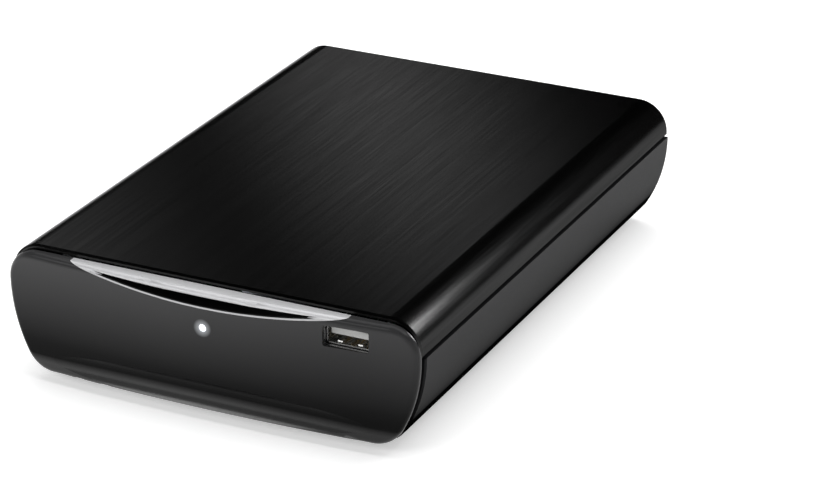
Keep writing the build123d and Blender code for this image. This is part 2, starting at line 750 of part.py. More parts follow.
with BuildPart() as board_capacitors:
    with BuildSketch(Plane.XY.offset(main_top)):
        with Locations((42.0, 62.0), (42.0, 52.0), (42.0, 42.0), (33.0, 42.0)):
            Circle(2.5)
    extrude(amount=3.0)
    fillet(edges().group_by(Axis.Z)[-1], radius=0.4)
finish(board_capacitors, "board_capacitors")

# Dock board and sockets that the tray's plugs push into
dock_half = 25.0
dock_top = 27.0
socket_half = recess_half - 1.5
socket_low = drive_board_top + 0.5
socket_top = recess_top - 0.5
blade_gap = 0.35
socket_front = plug_back + plug_body + 0.5
with BuildPart() as dock_board:
    with BuildSketch(upright(dock_y)):
        with Locations((plug_offset, main_top)):
            Rectangle(2 * dock_half, dock_top - main_top, align=(Align.CENTER, Align.MIN))
    extrude(amount=-board)
finish(dock_board, "dock_board")

with BuildPart() as dock_socket:
    with BuildSketch(upright(socket_front)):
        with Locations((plug_offset, socket_low)):
            Rectangle(2 * socket_half, socket_top - socket_low, align=(Align.CENTER, Align.MIN))
    extrude(amount=-(dock_y - socket_front))
    with BuildSketch(upright(socket_front)):
        with Locations((plug_offset - 10.6, blade_z)):
            Rectangle(10.4 + 2 * blade_gap, blade + 2 * blade_gap)
        with Locations((plug_offset + 5.6, blade_z)):
            Rectangle(20.6 + 2 * blade_gap, blade + 2 * blade_gap)
    extrude(amount=-(blade_length + 1.0), mode=Mode.SUBTRACT)
finish(dock_socket, "dock_socket")

tray_socket_front = tray_plug_rear + 0.5
with BuildPart() as tray_socket:
    with BuildSketch(upright(tray_socket_front)):
        with Locations((cable_x, main_top)):
            Rectangle(15.0, cable_top - 0.5 - main_top, align=(Align.CENTER, Align.MIN))
    extrude(amount=-6.5)
    with BuildSketch(upright(tray_socket_front)):
        with Locations((cable_x, tray_plug_low + 1.4)):
            Rectangle(10.0 + 2 * blade_gap, 1.0 + 2 * blade_gap)
    extrude(amount=-(nose + 0.6), mode=Mode.SUBTRACT)
finish(tray_socket, "tray_socket")

# Rear sockets
jack_block_z = main_top
jack_back = panel_inner - 9.6
jacks_at = [(-19.0 - column * jack_pitch, 16.5 + row * jack_rise) for column in range(3) for row in range(2)]
digital_at = (-3.5, 16.5)
jack_boss = 5.0
jack_wall = 0.6
sleeve_root = 3.0
sleeve_front = panel_outer + panel_recess + jack_stand_out


def jack_block(places, centre_x, width, height):
    """Moulded block of round jacks: bosses through the panel, each with a core for the plug's pin."""
    with BuildPart() as block:
        with BuildSketch(upright(jack_back)):
            with Locations((centre_x, jack_block_z)):
                Rectangle(width, height, align=(Align.CENTER, Align.MIN))
        extrude(amount=-(panel_inner - 0.1 - jack_back))
        with BuildSketch(upright(panel_inner - 0.1)):
            with Locations(*places):
                Circle(jack_boss)
        extrude(amount=-(panel + 0.5))
        with BuildSketch(upright(panel_outer + 0.4 - sleeve_root)):
            with Locations(*places):
                Circle(jack_sleeve_radius + screw_gap)
        extrude(amount=-sleeve_root, mode=Mode.SUBTRACT)
        with BuildSketch(upright(panel_outer + 0.4 - sleeve_root)):
            with Locations(*places):
                Circle(jack_sleeve_radius - jack_wall - screw_gap)
        extrude(amount=-(sleeve_front - 0.4 - panel_outer - 0.4 + sleeve_root))
        with BuildSketch(upright(sleeve_front)):
            with Locations(*places):
                Circle(jack_pin_radius)
        extrude(amount=12.0, mode=Mode.SUBTRACT)
    return block


av_jack_block = jack_block(jacks_at, -19.0 - jack_pitch, 3 * jack_pitch - 0.5, 2 * jack_rise)
finish(av_jack_block, "av_jack_block")
digital_jack_block = jack_block([digital_at], digital_at[0], 11.0, 14.0)
finish(digital_jack_block, "digital_jack_block")
with BuildPart() as jack_sleeves:
    with BuildSketch(upright(panel_outer + 0.4 - sleeve_root)):
        with Locations(*jacks_at, digital_at):
            Circle(jack_sleeve_radius)
            Circle(jack_sleeve_radius - jack_wall, mode=Mode.SUBTRACT)
    extrude(amount=-(sleeve_front - panel_outer - 0.4 + sleeve_root))
finish(jack_sleeves, "jack_sleeves")

hdmi_x = 10.5
hdmi_z = main_top + 3.6
hdmi_width = 15.0
hdmi_height = 5.6
hdmi_length = 10.5
socket_front_y = panel_outer + 0.4
with BuildPart() as hdmi_shell:
    with BuildSketch(upright(socket_front_y)):
        with Locations((hdmi_x, hdmi_z)):
            Rectangle(hdmi_width, hdmi_height)
        chamfer(vertices().group_by(Axis.Y)[0], length=1.4)
    extrude(amount=hdmi_length)
    with BuildSketch(upright(socket_front_y)):
        with Locations((hdmi_x, hdmi_z)):
            Rectangle(hdmi_width - 0.8, hdmi_height - 0.8)
        chamfer(vertices().group_by(Axis.Y)[0], length=1.4)
    extrude(amount=hdmi_length - 1.0, mode=Mode.SUBTRACT)
finish(hdmi_shell, "hdmi_shell")
with BuildPart() as hdmi_tongue:
    with BuildSketch(upright(socket_front_y - hdmi_length + 1.0)):
        with Locations((hdmi_x, hdmi_z + 0.5)):
            Rectangle(12.4, 1.3)
    extrude(amount=-(hdmi_length - 2.2))
finish(hdmi_tongue, "hdmi_tongue")

usb_b_x = 26.5
usb_b_width = 12.0
usb_b_height = 10.9
usb_b_length = 11.5
usb_b_z = main_top + usb_b_height / 2
with BuildPart() as device_socket_shell:
    with BuildSketch(upright(socket_front_y)):
        with Locations((usb_b_x, usb_b_z)):
            Rectangle(usb_b_width, usb_b_height)
    extrude(amount=usb_b_length)
    with BuildSketch(upright(socket_front_y)):
        with Locations((usb_b_x, usb_b_z)):
            Rectangle(8.5, 7.8)
        chamfer(vertices().group_by(Axis.Y)[-1], length=1.6)
    extrude(amount=usb_b_length - 1.0, mode=Mode.SUBTRACT)
finish(device_socket_shell, "device_socket_shell")
with BuildPart() as device_socket_tongue:
    with BuildSketch(upright(socket_front_y - usb_b_length + 1.0)):
        with Locations((usb_b_x, usb_b_z)):
            Rectangle(5.6, 3.2)
    extrude(amount=-(usb_b_length - 2.4))
finish(device_socket_tongue, "device_socket_tongue")

power_jack_x = 39.2
power_jack_z = main_top + 6.0
with BuildPart() as power_jack:
    with BuildSketch(upright(panel_inner - 0.1)):
        with Locations((power_jack_x, main_top)):
            Rectangle(9.0, 11.0, align=(Align.CENTER, Align.MIN))
    extrude(amount=10.0)
    with BuildSketch(upright(panel_inner - 0.1)):
        with Locations((power_jack_x, power_jack_z)):
            Circle(4.0)
    extrude(amount=-(panel + 0.5))
    with BuildSketch(upright(panel_outer + 0.4)):
        with Locations((power_jack_x, power_jack_z)):
            Circle(3.0)
    extrude(amount=9.0, mode=Mode.SUBTRACT)
finish(power_jack, "power_jack")
with BuildPart() as power_jack_pin:
    with BuildSketch(upright(panel_outer + 0.4 - 9.0)):
        with Locations((power_jack_x, power_jack_z)):
            Circle(1.05)
    extrude(amount=-8.2)
    fillet(edges().group_by(Axis.Y)[-1], radius=0.6)
finish(power_jack_pin, "power_jack_pin")

# Power switch: rocker on two pins in a snap-in body
switch_x = 50.0
switch_z = 21.5
switch_tilt = 8.0
switch_width = 8.4
switch_height = 13.2
switch_flange = 1.1
switch_depth = 10.0
cavity_width = 7.2
cavity_height = 11.8
rocker_width = 6.8
pin_radius = 0.8
pin_clearance = 0.05
pivot_y = panel_outer - 0.3
with BuildPart() as power_switch_body:
    with BuildSketch(upright(panel_outer)):
        with Locations((switch_x, switch_z)):
            Rectangle(switch_width, switch_height)
    extrude(amount=switch_depth)
    with BuildSketch(upright(panel_outer)):
        with Locations((switch_x, switch_z)):
            RectangleRounded(switch_width + 2.2, switch_height + 2.0, 0.8)
    extrude(amount=-switch_flange)
    fillet(edges().group_by(Axis.Y)[-1], radius=0.5)
    with BuildSketch(upright(panel_outer + switch_flange)):
        with Locations((switch_x, switch_z)):
            Rectangle(cavity_width, cavity_height)
    extrude(amount=switch_flange + 7.0, mode=Mode.SUBTRACT)
    with BuildSketch(Plane.YZ.offset(switch_x - switch_width)):
        with Locations((pivot_y, switch_z)):
            Circle(pin_radius + pin_clearance)
    extrude(amount=2 * switch_width, mode=Mode.SUBTRACT)
finish(power_switch_body, "power_switch_body")

tilt = radians(switch_tilt)
rocker_plane = Plane(origin=(switch_x, pivot_y, switch_z), x_dir=(0, cos(tilt), sin(tilt)), z_dir=(1, 0, 0))
with BuildPart() as power_rocker:
    with BuildSketch(rocker_plane):
        with BuildLine():
            Polyline((-2.4, -2.0), (-2.4, 2.0), (0.0, 5.3), (2.9, 5.3))
            ThreePointArc((2.9, 5.3), (1.9, 0.0), (2.9, -5.3))
            Polyline((2.9, -5.3), (0.0, -5.3), (-2.4, -2.0))
        make_face()
    extrude(amount=rocker_width / 2, both=True)
    fillet(edges().filter_by(GeomType.CIRCLE), radius=0.4)
    with BuildSketch(rocker_plane):
        Circle(pin_radius)
    extrude(amount=switch_width / 2 - 0.1, both=True)
finish(power_rocker, "power_rocker")

# Rear panel: flat plate in the end of the shells, with the socket openings and cooling slots
panel_gap = 0.2
opening_gap = 0.25
with BuildPart() as rear_panel:
    extrude(lower_profile(panel_inner, lower_wall + panel_gap), amount=-panel)
    with BuildSketch(upright(panel_inner)):
        add(cover_profile(0, cover_wall + panel_gap))
        with Locations((0, seam - 0.5)):
            Rectangle(2 * (half_width - lower_wall - panel_gap), cover_low - seam + 1.0,
                      align=(Align.CENTER, Align.MIN))
    extrude(amount=-panel)
    with BuildSketch(upright(panel_inner)):
        with Locations(*jacks_at, digital_at):
            Circle(jack_boss + opening_gap)
        with Locations((hdmi_x, hdmi_z)):
            Rectangle(hdmi_width + 2 * opening_gap, hdmi_height + 2 * opening_gap)
        with Locations((usb_b_x, usb_b_z)):
            Rectangle(usb_b_width + 2 * opening_gap, usb_b_height + 2 * opening_gap)
        with Locations((power_jack_x, power_jack_z)):
            Circle(4.0 + opening_gap)
        with Locations((switch_x, switch_z)):
            Rectangle(switch_width + 0.1, switch_height + 0.1)
        with Locations((-panel_screw_x, panel_screw_z), (panel_screw_x, panel_screw_z)):
            Circle(panel_screw_radius + 0.3)
        with Locations((18.0, 31.0)):
            with GridLocations(5.0, 0, 9, 1):
                SlotCenterToCenter(6.0, 2.4, rotation=90)
    extrude(amount=-panel, mode=Mode.SUBTRACT)
finish(rear_panel, "rear_panel")
panel_screws = screws([(-panel_screw_x, panel_screw_z), (panel_screw_x, panel_screw_z)],
                      rear_facing(panel_outer), 2.3, 1.5, panel_screw_radius - screw_gap, 9.0)
finish(panel_screws, "panel_screws")
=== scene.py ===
import math
import random

import bmesh
import bpy
from mathutils import Matrix, Vector


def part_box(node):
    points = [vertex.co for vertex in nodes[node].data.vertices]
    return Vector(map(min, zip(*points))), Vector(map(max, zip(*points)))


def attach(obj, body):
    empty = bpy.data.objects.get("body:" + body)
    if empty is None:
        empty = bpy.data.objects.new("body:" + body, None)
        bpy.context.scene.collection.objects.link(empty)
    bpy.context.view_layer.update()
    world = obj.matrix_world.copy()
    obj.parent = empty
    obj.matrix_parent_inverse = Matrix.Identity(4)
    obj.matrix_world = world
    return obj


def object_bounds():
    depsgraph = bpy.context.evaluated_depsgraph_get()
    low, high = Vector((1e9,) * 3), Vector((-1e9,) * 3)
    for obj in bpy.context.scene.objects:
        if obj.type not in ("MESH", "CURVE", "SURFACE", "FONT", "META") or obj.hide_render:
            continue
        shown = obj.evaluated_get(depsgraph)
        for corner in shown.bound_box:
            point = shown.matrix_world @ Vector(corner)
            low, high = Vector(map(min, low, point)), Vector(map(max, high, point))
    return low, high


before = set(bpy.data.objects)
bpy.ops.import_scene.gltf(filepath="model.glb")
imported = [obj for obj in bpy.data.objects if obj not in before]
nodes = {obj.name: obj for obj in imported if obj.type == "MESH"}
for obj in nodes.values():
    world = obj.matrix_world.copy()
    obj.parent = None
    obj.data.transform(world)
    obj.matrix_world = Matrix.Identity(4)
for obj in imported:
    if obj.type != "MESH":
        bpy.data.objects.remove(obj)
cad_low, cad_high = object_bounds()

# Top cover: one sheet of aluminium, bent down over both shoulders and black anodised. It was brushed from
# front to back before that, so fine straight lines run the length of the case and spread its highlights
# sideways.


def finish_nodes(name, colour, roughness, metallic=0.0):
    """A new material with its shader set; returns the material, its node tree and the shader."""
    material = bpy.data.materials.new(name)
    material.use_nodes = True
    tree = material.node_tree
    shader = tree.nodes["Principled BSDF"]
    shader.inputs["Base Color"].default_value = (*colour, 1.0)
    shader.inputs["Roughness"].default_value = roughness
    shader.inputs["Metallic"].default_value = metallic
    return material, tree, shader


def grain(tree, scale, stretch=(1.0, 1.0, 1.0), detail=2.0):
    """Noise in the piece's own coordinates: scale features per metre, longer along a small stretch."""
    place = tree.nodes.new("ShaderNodeTexCoord")
    mapping = tree.nodes.new("ShaderNodeMapping")
    mapping.inputs["Scale"].default_value = stretch
    noise = tree.nodes.new("ShaderNodeTexNoise")
    noise.inputs["Scale"].default_value = scale
    noise.inputs["Detail"].default_value = detail
    tree.links.new(place.outputs["Object"], mapping.inputs["Vector"])
    tree.links.new(mapping.outputs["Vector"], noise.inputs["Vector"])
    return noise.outputs["Fac"]


def spread(tree, value, low, high, start=0.3, end=0.7):
    """Maps value from the range start to end to the range low to high."""
    ranged = tree.nodes.new("ShaderNodeMapRange")
    ranged.inputs["From Min"].default_value = start
    ranged.inputs["From Max"].default_value = end
    ranged.inputs["To Min"].default_value = low
    ranged.inputs["To Max"].default_value = high
    tree.links.new(value, ranged.inputs["Value"])
    return ranged.outputs["Result"]


def relief(tree, shader, pattern, height):
    """Raises the surface by up to height metres where the pattern is 1."""
    bump = tree.nodes.new("ShaderNodeBump")
    bump.inputs["Distance"].default_value = height
    tree.links.new(pattern, bump.inputs["Height"])
    tree.links.new(bump.outputs["Normal"], shader.inputs["Normal"])


def polish(tree, shader, pattern, smoothest, roughest):
    """Varies the roughness with the pattern."""
    tree.links.new(spread(tree, pattern, smoothest, roughest), shader.inputs["Roughness"])


def wear(material, *names):
    """Gives a finish to CAD nodes."""
    for name in names:
        slots = nodes[name].data.materials
        slots.clear()
        slots.append(material)


anodised, tree, shader = finish_nodes("black_anodised", (0.03, 0.03, 0.032), 0.24, metallic=1.0)
shader.inputs["Specular Tint"].default_value = (0.5, 0.5, 0.5, 1.0)
shader.inputs["Anisotropic"].default_value = 0.85
across = tree.nodes.new("ShaderNodeTangent")
across.direction_type = "RADIAL"
across.axis = "Y"
tree.links.new(across.outputs["Tangent"], shader.inputs["Tangent"])
brushing = grain(tree, 5000.0, stretch=(1.0, 0.008, 1.0), detail=3.0)
polish(tree, shader, brushing, 0.15, 0.21)
relief(tree, shader, brushing, 0.000003)
streaks = grain(tree, 1300.0, stretch=(1.0, 0.012, 1.0), detail=3.0)
tree.links.new(spread(tree, streaks, 0.025, 0.036, start=0.32, end=0.68), shader.inputs["Base Color"])
wear(anodised, "top_cover")

# Lower case: trough moulded in dark grey plastic, with a fine spark-eroded texture that keeps it matt. A
# tongue on each side stands inside the cover. Its colour and reflection are painted darker towards the foot
# as painted shade.


def along(tree, axis):
    """One of the piece's own coordinates; Z is the height above the floor."""
    place = tree.nodes.new("ShaderNodeTexCoord")
    parts = tree.nodes.new("ShaderNodeSeparateXYZ")
    tree.links.new(place.outputs["Object"], parts.inputs["Vector"])
    return parts.outputs[axis]


def painted_height_shade(tree, shader, foot_colour, top_colour, foot_z, top_z):
    """Painted shade: base colour that goes from foot_colour at the height foot_z to top_colour at top_z."""
    shade = tree.nodes.new("ShaderNodeValToRGB")
    shade.color_ramp.elements[0].color = (*foot_colour, 1.0)
    shade.color_ramp.elements[1].color = (*top_colour, 1.0)
    tree.links.new(spread(tree, along(tree, "Z"), 0.0, 1.0, start=foot_z, end=top_z), shade.inputs["Fac"])
    tree.links.new(shade.outputs["Color"], shader.inputs["Base Color"])


case_seam_z = 0.032
case_plastic, tree, shader = finish_nodes("moulded_case", (0.010, 0.010, 0.011), 0.5)
# Painted shade: colour and reflection darken towards the foot.
painted_height_shade(tree, shader, (0.001, 0.001, 0.001), (0.010, 0.010, 0.011), foot_z=0.008, top_z=case_seam_z)
painted_reflection_level = spread(tree, along(tree, "Z"), 0.0, 0.11, start=0.010, end=case_seam_z)
tree.links.new(painted_reflection_level, shader.inputs["Specular IOR Level"])
texture = grain(tree, 4200.0, detail=3.0)
polish(tree, shader, texture, 0.44, 0.56)
relief(tree, shader, texture, 0.000012)
wear(case_plastic, "lower_case")

# Rubber feet: four soft black discs with a slightly rough skin. They are glued into shallow recesses under
# the lower case.
rubber, tree, shader = finish_nodes("foot_rubber", (0.018, 0.018, 0.018), 0.75)
relief(tree, shader, grain(tree, 2500.0), 0.00002)
wear(rubber, "rubber_feet")

# Front bezel: dark grey plastic moulded in a polished tool, glossy and a little wavy; it is screwed to the
# tray. Its colour is painted darker towards the foot as painted shade, and its reflection is painted by
# height and fades towards
# the right: a painted highlight on the flute's lower lip, painted shade on the band above it and on the top
# roll. A painted glow in the bezel's own colour surrounds the lamp's hole, standing for the lamp's light.


def arithmetic(tree, operation, first, second):
    """One sum with two values, each a number or an output."""
    step = tree.nodes.new("ShaderNodeMath")
    step.operation = operation
    for socket, value in zip(step.inputs, (first, second)):
        if isinstance(value, float):
            socket.default_value = value
        else:
            tree.links.new(value, socket)
    return step.outputs["Value"]


def middle(name):
    """Middle of a CAD node's box."""
    low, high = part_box(name)
    return (Vector(low) + Vector(high)) / 2


face_y = cad_low[1]
bezel_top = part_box("front_bezel")[1][2]
lamp_z = middle("led_light_pipe")[2]
lamp_colour = (0.92, 0.96, 1.0, 1.0)
gloss, tree, shader = finish_nodes("bezel_gloss", (0.024, 0.024, 0.025), 0.2)
polish(tree, shader, grain(tree, 900.0), 0.17, 0.23)
relief(tree, shader, grain(tree, 60.0), 0.00002)
# Painted shade: the colour darkens towards the foot.
painted_height_shade(tree, shader, (0.004, 0.004, 0.004), (0.030, 0.030, 0.031), foot_z=0.010, top_z=0.038)
# Painted highlight and shade: reflection level by height, high on the flute's lower lip, low on the band
# above it and on the top roll.
painted_reflection_curve = tree.nodes.new("ShaderNodeFloatCurve")
curve = painted_reflection_curve.mapping.curves[0]
flute_highlight_level = 0.5
band_shade_level = 0.06
face_reflection_level = 0.36
roll_shade_level = 0.10
painted_reflection_at_height = {
    0.0065: flute_highlight_level,
    0.0085: band_shade_level,
    0.013: band_shade_level,
    0.0375: face_reflection_level,
    0.0386: roll_shade_level,
}
for z, level in painted_reflection_at_height.items():
    curve.points.new(z / bezel_top, level)
curve.points[0].location = (0.0, flute_highlight_level)
curve.points[-1].location = (1.0, roll_shade_level)
for point in curve.points:
    point.handle_type = "VECTOR"
painted_reflection_curve.mapping.update()
tree.links.new(arithmetic(tree, "DIVIDE", along(tree, "Z"), bezel_top), painted_reflection_curve.inputs["Value"])
# Painted shade: the reflection weakens towards the right.
right_painted_shade = spread(tree, along(tree, "X"), 1.0, 0.7, start=-0.01, end=0.045)
painted_reflection_level = arithmetic(tree, "MULTIPLY", painted_reflection_curve.outputs["Value"], right_painted_shade)
tree.links.new(painted_reflection_level, shader.inputs["Specular IOR Level"])
# Painted glow: the bezel's own emission round the lamp's hole, standing for the lamp's light.
place = tree.nodes.new("ShaderNodeTexCoord")
from_lamp = tree.nodes.new("ShaderNodeVectorMath")
from_lamp.operation = "DISTANCE"
from_lamp.inputs[1].default_value = (0.0, face_y, lamp_z)
tree.links.new(place.outputs["Object"], from_lamp.inputs[0])
shader.inputs["Emission Color"].default_value = lamp_colour
glow = spread(tree, from_lamp.outputs["Value"], 0.3, 0.0, start=0.0011, end=0.0028)
tree.links.new(glow, shader.inputs["Emission Strength"])
wear(gloss, "front_bezel")

# Crescent trim: moulding sprayed silver with a fine metal flake, clipped into the top of the bezel. The
# slot's walls and the lower part of its mouth are painted near black and barely reflective, as painted shade
# in the recess, above a thin silver rim.
bow_radius = 0.680
crescent_half_length = 0.044
crescent_depth = 0.005
crescent_radius = (crescent_half_length**2 + crescent_depth**2) / (2 * crescent_depth)
crescent_centre = bezel_top - crescent_depth + crescent_radius
slot_ceiling = bezel_top - 0.0013
silver_rim = 0.0006
shade_depth = 0.00008
silver_colour = (0.50, 0.50, 0.51)
silver, tree, shader = finish_nodes("silver_paint", silver_colour, 0.42, metallic=0.3)
flake = grain(tree, 9000.0)
polish(tree, shader, flake, 0.36, 0.48)
relief(tree, shader, flake, 0.000004)
# Painted shade: near black, barely reflective colour inside the slot and in its mouth above the rim.
x, y, z = (along(tree, axis) for axis in "XYZ")
x_squared = arithmetic(tree, "MULTIPLY", x, x)
bow = arithmetic(tree, "DIVIDE", x_squared, 2.0 * bow_radius)
behind_face = arithmetic(tree, "SUBTRACT", arithmetic(tree, "SUBTRACT", y, face_y), bow)
in_slot = arithmetic(tree, "GREATER_THAN", behind_face, shade_depth)
under_centre = arithmetic(tree, "SUBTRACT", z, crescent_centre)
from_centre = arithmetic(tree, "ADD", x_squared, arithmetic(tree, "MULTIPLY", under_centre, under_centre))
above_rim = arithmetic(tree, "LESS_THAN", from_centre, (crescent_radius - silver_rim) ** 2)
below_ceiling = arithmetic(tree, "LESS_THAN", z, slot_ceiling)
slot_shade = arithmetic(tree, "MULTIPLY", arithmetic(tree, "MAXIMUM", in_slot, above_rim), below_ceiling)
paint = tree.nodes.new("ShaderNodeMix")
paint.data_type = "RGBA"
paint.inputs["A"].default_value = (*silver_colour, 1.0)
paint.inputs["B"].default_value = (0.006, 0.006, 0.006, 1.0)
tree.links.new(slot_shade, paint.inputs["Factor"])
tree.links.new(paint.outputs["Result"], shader.inputs["Base Color"])
painted_reflection_level = spread(tree, slot_shade, 0.5, 0.05, start=0.0, end=1.0)
tree.links.new(painted_reflection_level, shader.inputs["Specular IOR Level"])
wear(silver, "crescent_trim")

# Receiver window: smoked plastic strip behind the crescent's slot, black to the eye. The receiver stands
# behind it on the front board, in the same dark resin.
smoked, tree, shader = finish_nodes("smoked_window", (0.004, 0.004, 0.004), 0.2)
polish(tree, shader, grain(tree, 700.0), 0.18, 0.24)
wear(smoked, "receiver_window", "infrared_receiver")

# Lamp: small white lamp soldered to the front board. It is seen at the end of a clear light pipe, which is
# pressed into the bezel and flush with its face.
lit, tree, shader = finish_nodes("lamp_light", (0.9, 0.93, 1.0), 0.3)
shader.inputs["Emission Color"].default_value = lamp_colour
shader.inputs["Emission Strength"].default_value = 1.0
polish(tree, shader, grain(tree, 2000.0), 0.26, 0.34)
wear(lit, "led_light_pipe", "status_led")

# Front socket: folded shell of nickel plated steel round a pale plastic tongue, which carries four gilded
# contacts on its underside. Two spring leaves bend up from the shell's floor. The shell is soldered to the
# front board.
plated, tree, shader = finish_nodes("socket_steel", (0.62, 0.62, 0.61), 0.24, metallic=1.0)
rolled = grain(tree, 1800.0, stretch=(1.0, 0.08, 1.0))
polish(tree, shader, rolled, 0.18, 0.30)
relief(tree, shader, rolled, 0.000003)
wear(plated, "front_usb_shell", "hdmi_shell", "device_socket_shell")
tongue_plastic, tree, shader = finish_nodes("white_tongue", (0.50, 0.50, 0.49), 0.3)
relief(tree, shader, grain(tree, 3000.0), 0.000004)
wear(tongue_plastic, "front_usb_tongue")
gilt, tree, shader = finish_nodes("gilded_contact", (0.80, 0.56, 0.22), 0.28, metallic=1.0)
polish(tree, shader, grain(tree, 3000.0), 0.22, 0.34)


def facing(centre, axis):
    """Matrix that puts the origin at centre and turns +Z to axis."""
    return Matrix.Translation(centre) @ Vector(axis).to_track_quat("Z", "Y").to_matrix().to_4x4()


def raise_up(shape, base, matrix, height, edge):
    """Extrudes a flat face to height along the matrix's Z and bevels every edge but the base's."""
    raised = bmesh.ops.extrude_face_region(shape, geom=[base], use_keep_orig=True)["geom"]
    top = [item for item in raised if isinstance(item, bmesh.types.BMVert)]
    bmesh.ops.translate(shape, verts=top, vec=matrix.to_3x3() @ Vector((0.0, 0.0, height)))
    if edge > 0.0:
        rims = {rim for corner in top for rim in corner.link_edges}
        bmesh.ops.bevel(shape, geom=list(rims), offset=edge, segments=2, profile=0.5, affect="EDGES",
                        material=-1, clamp_overlap=True)


def prism(shape, matrix, outline, height, edge=0.0):
    """Closed prism on a flat outline in the matrix's XY plane."""
    corners = [shape.verts.new(matrix @ Vector((x, y, 0.0))) for x, y in outline]
    raise_up(shape, shape.faces.new(corners), matrix, height, edge)


def box_between(shape, low, high, edge=0.0):
    """Upright block between two opposite corners."""
    corners = [(low[0], low[1]), (high[0], low[1]), (high[0], high[1]), (low[0], high[1])]
    prism(shape, Matrix.Translation((0.0, 0.0, low[2])), corners, high[2] - low[2], edge)


def add_piece(name, body, material, shape):
    """Turns a finished bmesh into a piece that rides on a body."""
    mesh = bpy.data.meshes.new(name)
    bmesh.ops.recalc_face_normals(shape, faces=shape.faces)
    shape.to_mesh(mesh)
    shape.free()
    mesh.materials.append(material)
    piece = bpy.data.objects.new(name, mesh)
    bpy.context.scene.collection.objects.link(piece)
    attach(piece, body)


shell_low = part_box("front_usb_shell")[0]
tongue_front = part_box("front_usb_tongue")[0][1]
socket_x, _, socket_z = middle("front_usb_shell")
tongue_rise = 0.0007
tongue_half = 0.00095
underside = socket_z + tongue_rise - tongue_half
contact_half = 0.0005
contact_front = tongue_front + 0.0006
contact_rear = tongue_front + 0.0076
shape = bmesh.new()
for offset in (-0.0035, -0.001, 0.001, 0.0035):
    x = socket_x + offset
    box_between(shape, (x - contact_half, contact_front, underside - 0.00012),
                (x + contact_half, contact_rear, underside + 0.00008))
add_piece("front_usb_contacts", "drive_drawer", gilt, shape)
leaf_half = 0.0008
leaf_front = shell_low[1] + 0.0012
leaf_rear = shell_low[1] + 0.0066
shape = bmesh.new()
for offset in (-0.0031, 0.0031):
    x = socket_x + offset
    box_between(shape, (x - leaf_half, leaf_front, shell_low[2] + 0.00036),
                (x + leaf_half, leaf_rear, shell_low[2] + 0.00062), edge=0.00008)
add_piece("front_usb_springs", "drive_drawer", plated, shape)

# Circuit boards: glass cloth under green solder mask. Copper tracks show as paler lines and tinned pads as
# small bright spots. The front board carries the lamp, the receiver and the front socket and is screwed to
# the tray's front plate.


def board_finish(name, mask, track):
    """Solder mask over tracks, with tinned pads."""
    material, tree, shader = finish_nodes(name, mask, 0.3)
    place = tree.nodes.new("ShaderNodeTexCoord")
    lines = tree.nodes.new("ShaderNodeTexBrick")
    lines.inputs["Scale"].default_value = 60.0
    lines.inputs["Mortar Size"].default_value = 0.012
    lines.inputs["Brick Width"].default_value = 0.9
    lines.inputs["Row Height"].default_value = 0.11
    lines.inputs["Color1"].default_value = (*mask, 1.0)
    lines.inputs["Color2"].default_value = (*mask, 1.0)
    lines.inputs["Mortar"].default_value = (*track, 1.0)
    pads = tree.nodes.new("ShaderNodeTexVoronoi")
    pads.inputs["Scale"].default_value = 260.0
    tinned = arithmetic(tree, "LESS_THAN", pads.outputs["Distance"], 0.16)
    colour = tree.nodes.new("ShaderNodeMix")
    colour.data_type = "RGBA"
    colour.inputs["B"].default_value = (0.55, 0.55, 0.52, 1.0)
    tree.links.new(place.outputs["Object"], lines.inputs["Vector"])
    tree.links.new(place.outputs["Object"], pads.inputs["Vector"])
    tree.links.new(tinned, colour.inputs["Factor"])
    tree.links.new(lines.outputs["Color"], colour.inputs["A"])
    tree.links.new(colour.outputs["Result"], shader.inputs["Base Color"])
    relief(tree, shader, lines.outputs["Fac"], 0.00001)
    return material


green = board_finish("solder_mask", mask=(0.012, 0.085, 0.035), track=(0.03, 0.16, 0.07))
wear(green, "main_board", "dock_board", "front_board", "hard_drive_board")

# Screws: zinc plated pan heads with a cross recess, each stopped at its own angle as it was tightened. The
# recesses are drawn as dark crosses of painted shade that stand a hair above the heads.
steel, tree, shader = finish_nodes("screw_steel", (0.42, 0.42, 0.43), 0.3, metallic=1.0)
polish(tree, shader, grain(tree, 3000.0), 0.24, 0.4)
wear(steel, "rail_screws", "board_screws", "panel_screws")
wear(steel, "bezel_screws", "front_board_screws", "drive_screws")
recess, tree, shader = finish_nodes("recess_shade", (0.010, 0.010, 0.010), 0.6)
relief(tree, shader, grain(tree, 4000.0), 0.00001)
recess_sunk = 0.0001
recess_height = 0.00013
turns = random.Random(5)


def crosses(name, body, places, axis, arm):
    """Cross recesses with arms of the length arm, on heads whose tops are at places and face along axis."""
    shape = bmesh.new()
    half = arm * 0.2
    outline = [(half, -half), (arm, -half), (arm, half),
               (half, half), (half, arm), (-half, arm),
               (-half, half), (-arm, half), (-arm, -half),
               (-half, -half), (-half, -arm), (half, -arm)]
    for centre in places:
        turn = Matrix.Rotation(turns.uniform(0.0, math.pi / 2), 4, "Z")
        sunk = Vector(centre) - Vector(axis) * recess_sunk
        prism(shape, facing(sunk, axis) @ turn, outline, recess_height)
    add_piece(name, body, recess, shape)


